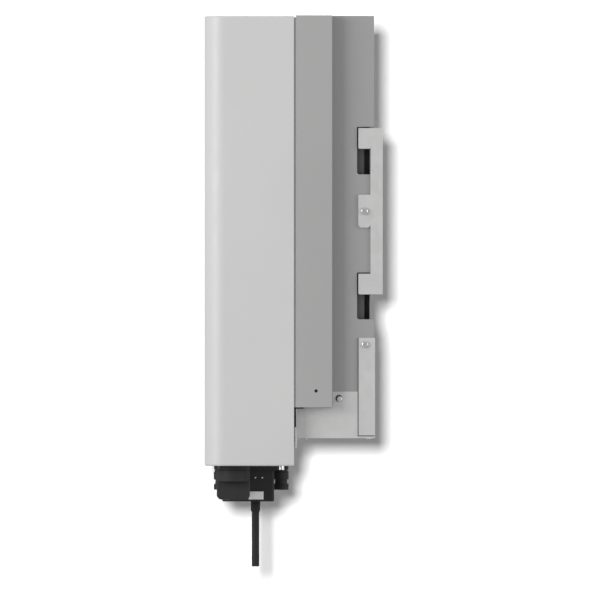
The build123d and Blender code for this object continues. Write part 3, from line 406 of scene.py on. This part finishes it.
def add_block(mesh, low, high):
    """Adds a box between two corners to a bmesh."""
    for corner in bmesh.ops.create_cube(mesh, size=1.0)["verts"]:
        corner.co = Vector([low[i] + (high[i] - low[i]) * (corner.co[i] + 0.5) for i in range(3)])


def add_turned(mesh, profile, place, axis, steps=36):
    """Adds a solid of revolution: (radius, height) points turned about an axis through a place."""
    turn = Vector((0, 0, 1)).rotation_difference(Vector(axis))
    points = [Vector(place) + turn @ Vector((radius, 0, height)) for radius, height in profile]
    outline = [mesh.verts.new(point) for point in points]
    edges = [mesh.edges.new(pair) for pair in zip(outline, outline[1:])]
    bmesh.ops.spin(
        mesh, geom=outline + edges, cent=place, axis=axis, angle=2 * math.pi, steps=steps, use_merge=True
    )
    bmesh.ops.remove_doubles(mesh, verts=mesh.verts, dist=TURNED_JOIN)
    bmesh.ops.recalc_face_normals(mesh, faces=mesh.faces)


def scaled(*points):
    """Points in millimetres as points in metres."""
    return [tuple(number * MM for number in point) for point in points]


# ---- finished edges on the CAD pieces ----

# How far each piece's sharp edges are rounded, in millimetres
EDGE_WIDTHS = {
    "front_cover": 0.5,
    "main_housing": 0.4,
    "heat_sink_fins": 0.3,
    "duct_rear_panel": 0.3,
    "outlet_grille": 0.25,
    "wall_bracket": 0.45,
    "duct_side_right": 0.25,
    "duct_side_left": 0.25,
    "fan_tray": 0.3,
    "rear_strip_right": 0.22,
    "rear_strip_left": 0.22,
    "connection_box": 0.3,
    "connector_plate": 0.3,
    "comm_module": 0.35,
    "antenna_collar": 0.25,
    "dc_switch_base": 0.25,
    "dc_switch_knob": 0.3,
    "inlets_positive": 0.3,
    "inlets_negative": 0.3,
    "inlet_caps": 0.25,
    "ac_connector": 0.5,
    "ac_gland_nut": 0.4,
    "signal_gland": 0.4,
    "vent_plug": 0.4,
    "earth_terminal": 0.3,
}
# These have edges closer together than their rounding
CLAMPED = ("comm_module", "vent_plug", "earth_terminal")
for node, width in EDGE_WIDTHS.items():
    softened_copy(node, width * MM, clamp=node in CLAMPED)


# ---- small pieces ----

def status_lamps():
    """A recessed window with four round lenses."""
    window_low, window_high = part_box("status_window")
    piece = softened_copy("status_window", 0.15 * MM)
    recess = 0.6 * MM
    front_layer = 0.4 * MM
    for corner in piece.data.vertices:
        if corner.co.y < window_low.y + front_layer:
            corner.co.y += recess
    colours = {
        "run": (0.1, 0.75, 0.25),
        "grid": (0.1, 0.75, 0.25),
        "link": (0.1, 0.4, 0.8),
        "fault": (0.35, 0.05, 0.04),
    }
    centre = (window_low + window_high) / 2
    pitch = 12.0 * MM
    middle_place = (len(colours) - 1) / 2
    profile = scaled((0, -0.6), (1.6, -0.6), (1.6, 0.15), (1.3, 0.35), (0.7, 0.45), (0, 0.5))
    for place, (name, colour) in enumerate(colours.items()):
        mesh = bmesh.new()
        x = centre.x + (place - middle_place) * pitch
        add_turned(mesh, profile, (x, window_low.y + recess, centre.z), (0, -1, 0), steps=24)
        new_piece(f"lamp_{name}", mesh, "window_plastic", material=lens(f"lens_{name}", colour))


def rating_plate():
    """A blank metal plate let into the communication module's side, with two fixing screws above it."""
    low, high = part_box("comm_module")
    face = high.x - 0.02 * MM
    inner = high.x - 0.5 * MM
    start = low.y + 34.9 * MM
    foot = low.z + 2.7 * MM
    length = 19.6 * MM
    height = 10.5 * MM
    mesh = bmesh.new()
    add_block(mesh, (inner, start, foot), (face, start + length, foot + height))
    soften(mesh, 0.18 * MM)
    # The plate is a light sheet. Its grey of 0.8, well above the other zinc sheet, is also painted light
    # that makes up for the knob's shade falling on it.
    plate_metal_painted_light = galvanised("plate_metal_painted_light", 0.8, (1.0, 1.0, 0.985))
    new_piece("rating_plate", mesh, "zinc_steel", material=plate_metal_painted_light)
    screw_z = low.z + 31.4 * MM
    profile = scaled(
        (0, -0.8), (1.0, -0.8), (1.0, 0.0), (0.8, 0.18), (0.35, 0.2), (0.35, -0.25), (0, -0.25)
    )
    for name, from_front in (("front", 43.5), ("rear", 52.7)):
        mesh = bmesh.new()
        place = (face, low.y + from_front * MM, screw_z)
        add_turned(mesh, profile, place, (1, 0, 0), steps=20)
        new_piece(f"module_screw_{name}", mesh, "screw_steel")


def strip_shade_lines():
    """Dark rubber beads along the front edge of each rear strip and under its foot: painted shade, standing
    for the shadow line where the strip meets the sheet.
    """
    shade_width = 1.0 * MM
    proud = 0.6 * MM
    sunk = 0.1 * MM
    tray_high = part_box("fan_tray")[1]
    duct_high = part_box("duct_side_right")[1]
    for side, name in ((1, "right"), (-1, "left")):
        low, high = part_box(f"rear_strip_{name}")
        mesh = bmesh.new()
        foot = low.z - shade_width
        stretches = (
            (tray_high.x, (low.y - shade_width, low.y), (foot, tray_high.z)),
            (duct_high.x, (low.y - shade_width, low.y), (tray_high.z, high.z)),
            (tray_high.x, (low.y, high.y - shade_width), (foot, low.z)),
        )
        for x, (front, back), (bottom, top) in stretches:
            inner, outer = sorted((side * (x - sunk), side * (x + proud)))
            add_block(mesh, (inner, front, bottom), (outer, back, top))
        soften(mesh, 0.12 * MM)
        new_piece(f"strip_seam_{name}", mesh, "seal_rubber")


def tray_hole_shade_rings():
    """A dark rubber ring set off-centre in the loose hole behind each tray screw: painted shade, so the
    crescent of hole beside the screw reads black like the shade deep in the hole.
    """
    low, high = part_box("tray_screws")
    centre = (low + high) / 2
    tray_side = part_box("fan_tray")[1].x
    off_centre = 1.0 * MM
    profile = scaled(
        (2.7, -1.4), (4.3, -1.4), (4.3, -0.5), (4.0, -0.3), (2.9, -0.3), (2.7, -0.5), (2.7, -1.4)
    )
    for side, name in ((1, "right"), (-1, "left")):
        mesh = bmesh.new()
        place = (side * tray_side, centre.y - off_centre, centre.z + off_centre)
        add_turned(mesh, profile, place, (side, 0, 0))
        new_piece(f"tray_grommet_{name}", mesh, "seal_rubber")


def switch_marks():
    """Two position marks on the switch's base, a quarter turn apart, and the pointer in the knob's grip."""
    base_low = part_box("dc_switch_base")[0]
    knob_low, knob_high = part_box("dc_switch_knob")
    axis_x = (knob_low.x + knob_high.x) / 2
    axis_y = (knob_low.y + knob_high.y) / 2
    radius = (knob_high.y - knob_low.y) / 2
    half_width = 0.45 * MM
    foot = base_low.z + 2.0 * MM
    head = base_low.z + 10.0 * MM
    for name, angle in (("on", math.radians(-59)), ("off", math.radians(-149))):
        mesh = bmesh.new()
        add_block(mesh, (radius - 0.3 * MM, -half_width, foot), (radius + 0.25 * MM, half_width, head))
        soften(mesh, 0.15 * MM)
        turn = Quaternion((0, 0, 1), angle).to_matrix()
        bmesh.ops.rotate(mesh, verts=mesh.verts, matrix=turn)
        bmesh.ops.translate(mesh, verts=mesh.verts, vec=(axis_x, axis_y, 0))
        new_piece(f"switch_mark_{name}", mesh, "zinc_steel")
    mesh = bmesh.new()
    tip = knob_low.y + 7.5 * MM
    length = 9.0 * MM
    half_width = 0.9 * MM
    below = knob_low.z - 0.2 * MM
    above = knob_low.z + 0.6 * MM
    add_block(mesh, (axis_x - half_width, tip, below), (axis_x + half_width, tip + length, above))
    soften(mesh, 0.25 * MM)
    new_piece("knob_pointer", mesh, "zinc_steel", frame["nodes"]["dc_switch_knob"]["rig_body"])


def inlet_flutes():
    """Moulded grip ribs round the waist of every inlet."""
    count = 10
    ribs_each = 8
    half_width = 0.8 * MM
    foot = -29.0 * MM
    head = -7.0 * MM
    plate_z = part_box("connector_plate")[0].z
    for row in ("positive", "negative"):
        low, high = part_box(f"inlets_{row}")
        radius = (high.y - low.y) / 2
        inner = radius - 1.4 * MM
        outer = radius - 0.3 * MM
        pitch = (high.x - low.x - 2 * radius) / (count - 1)
        mesh = bmesh.new()
        for place in range(count):
            centre = (low.x + radius + place * pitch, (low.y + high.y) / 2, plate_z)
            for step in range(ribs_each):
                rib = bmesh.new()
                add_block(rib, (inner, -half_width, foot), (outer, half_width, head))
                soften(rib, 0.3 * MM)
                turn = Quaternion((0, 0, 1), step * 2 * math.pi / ribs_each).to_matrix()
                bmesh.ops.rotate(rib, verts=rib.verts, matrix=turn)
                bmesh.ops.translate(rib, verts=rib.verts, vec=centre)
                part = bpy.data.meshes.new("rib")
                rib.to_mesh(part)
                rib.free()
                mesh.from_mesh(part)
                bpy.data.meshes.remove(part)
        new_piece(f"inlet_flutes_{row}", mesh, "black_plastic")


status_lamps()
rating_plate()
strip_shade_lines()
tray_hole_shade_rings()
switch_marks()
inlet_flutes()


# ---- stage, lights and camera ----

VIEW_WIDTH = 0.7763
CAMERA_DISTANCE = 30.0
CAMERA_AIM = (CAD_HIGH.x, -0.1137, -0.1112)
FLOOR_DROP = 0.1
FLOOR_REACH = 120.0
BACKDROP_GAP = 1.5
BACKDROP_HALF_WIDTH = 0.9
AMBIENT_STRENGTH = 0.48
SEEN_STRENGTH = 1.05


def stage_sheet(name, corners, colour):
    """A flat sheet seen by the camera alone, so that it neither lights nor shades the object."""
    data = bpy.data.meshes.new(name)
    data.from_pydata(corners, [], [range(len(corners))])
    sheet = bpy.data.objects.new(name, data)
    bpy.context.scene.collection.objects.link(sheet)
    material, tree, shader = new_material(name, roughness=0.9, specular=0.2)
    shade = spread(tree, noise(tree, 3.0, 2.0), 0.0, 1.0)
    link(tree, blend(tree, shade, grey(colour * 0.995), grey(colour)), shader.inputs["Base Color"])
    data.materials.append(material)
    sheet.visible_diffuse = False
    sheet.visible_glossy = False
    sheet.visible_shadow = False
    return sheet


floor_z = CAD_LOW.z - FLOOR_DROP
floor = stage_sheet(
    "floor",
    [
        (-FLOOR_REACH, -FLOOR_REACH, floor_z),
        (FLOOR_REACH, -FLOOR_REACH, floor_z),
        (FLOOR_REACH, FLOOR_REACH, floor_z),
        (-FLOOR_REACH, FLOOR_REACH, floor_z),
    ],
    0.85,
)
# The floor glows more where the lights no longer reach it
tree = floor.data.materials[0].node_tree
from_object = tree.nodes.new("ShaderNodeVectorMath")
from_object.operation = "LENGTH"
link(tree, coordinates(tree), from_object.inputs[0])
shader = tree.nodes["Principled BSDF"]
shader.inputs["Emission Color"].default_value = (1, 1, 1, 1)
glow = spread(tree, from_object.outputs["Value"], 0.2, 0.68, 0.9, 2.8)
link(tree, glow, shader.inputs["Emission Strength"])

back_x = CAD_LOW.x - BACKDROP_GAP
backdrop = stage_sheet(
    "backdrop",
    [
        (back_x, -BACKDROP_HALF_WIDTH, floor_z),
        (back_x, BACKDROP_HALF_WIDTH, floor_z),
        (back_x, BACKDROP_HALF_WIDTH, BACKDROP_HALF_WIDTH),
        (back_x, -BACKDROP_HALF_WIDTH, BACKDROP_HALF_WIDTH),
    ],
    0.27,
)


def see_through_from_behind(sheet):
    """The sheet is clear on its back, so that it never hides the object."""
    tree = sheet.data.materials[0].node_tree
    side = tree.nodes.new("ShaderNodeNewGeometry")
    clear = tree.nodes.new("ShaderNodeBsdfTransparent")
    mix = tree.nodes.new("ShaderNodeMixShader")
    link(tree, side.outputs["Backfacing"], mix.inputs[0])
    link(tree, tree.nodes["Principled BSDF"].outputs[0], mix.inputs[1])
    link(tree, clear.outputs[0], mix.inputs[2])
    link(tree, mix.outputs[0], tree.nodes["Material Output"].inputs["Surface"])


see_through_from_behind(backdrop)
see_through_from_behind(floor)


def area_light(name, place, aim, size, power):
    """A square soft light turned towards a point."""
    data = bpy.data.lights.new(name, "AREA")
    data.size = size
    data.energy = power
    light = bpy.data.objects.new(name, data)
    light.location = place
    direction = Vector(aim) - Vector(place)
    light.rotation_mode = "QUATERNION"
    light.rotation_quaternion = direction.to_track_quat("-Z", "Y")
    light.visible_camera = False
    bpy.context.scene.collection.objects.link(light)
    return light


def light_only(light, *targets):
    """The light falls on these objects and no others."""
    receivers = bpy.data.collections.new(f"{light.name}_receivers")
    for target in targets:
        receivers.objects.link(target)
    light.light_linking.receiver_collection = receivers


middle = (CAD_LOW + CAD_HIGH) / 2
area_light("key_light", middle + Vector((1.9, -2.5, 0.6)), middle, 1.8, 63)
area_light("rear_light", middle + Vector((1.7, 2.9, 0.4)), middle, 1.6, 35)
area_light("back_light", middle + Vector((-2.6, 2.4, 1.4)), middle, 2.0, 35)
area_light("top_light", middle + Vector((0.4, -0.4, 3.6)), middle, 2.0, 14)
# This one is as far off as the camera and a little to the front and above it
shadow_place = middle + Vector((CAMERA_DISTANCE, -0.24, 0.25))
shadow_light = area_light("shadow_light", shadow_place, middle, 0.34, 34500)
light_only(shadow_light, backdrop)

world = bpy.data.worlds.new("studio")
world.use_nodes = True
bpy.context.scene.world = world
tree = world.node_tree
ambient = tree.nodes["Background"]
ambient.inputs["Color"].default_value = (1, 1, 1, 1)
ambient.inputs["Strength"].default_value = AMBIENT_STRENGTH
seen = tree.nodes.new("ShaderNodeBackground")
seen.inputs["Color"].default_value = (1, 1, 1, 1)
seen.inputs["Strength"].default_value = SEEN_STRENGTH
path = tree.nodes.new("ShaderNodeLightPath")
mix = tree.nodes.new("ShaderNodeMixShader")
link(tree, path.outputs["Is Camera Ray"], mix.inputs[0])
link(tree, ambient.outputs[0], mix.inputs[1])
link(tree, seen.outputs[0], mix.inputs[2])
link(tree, mix.outputs[0], tree.nodes["World Output"].inputs["Surface"])

bpy.context.scene.view_settings.view_transform = "Standard"

camera_data = bpy.data.cameras.new("camera")
camera_data.sensor_width = 36.0
camera_data.lens = camera_data.sensor_width * CAMERA_DISTANCE / VIEW_WIDTH
camera = bpy.data.objects.new("camera", camera_data)
camera.location = Vector(CAMERA_AIM) + Vector((CAMERA_DISTANCE, 0, 0))
camera.rotation_euler = (math.radians(90), 0, math.radians(90))
bpy.context.scene.collection.objects.link(camera)
bpy.context.scene.camera = camera
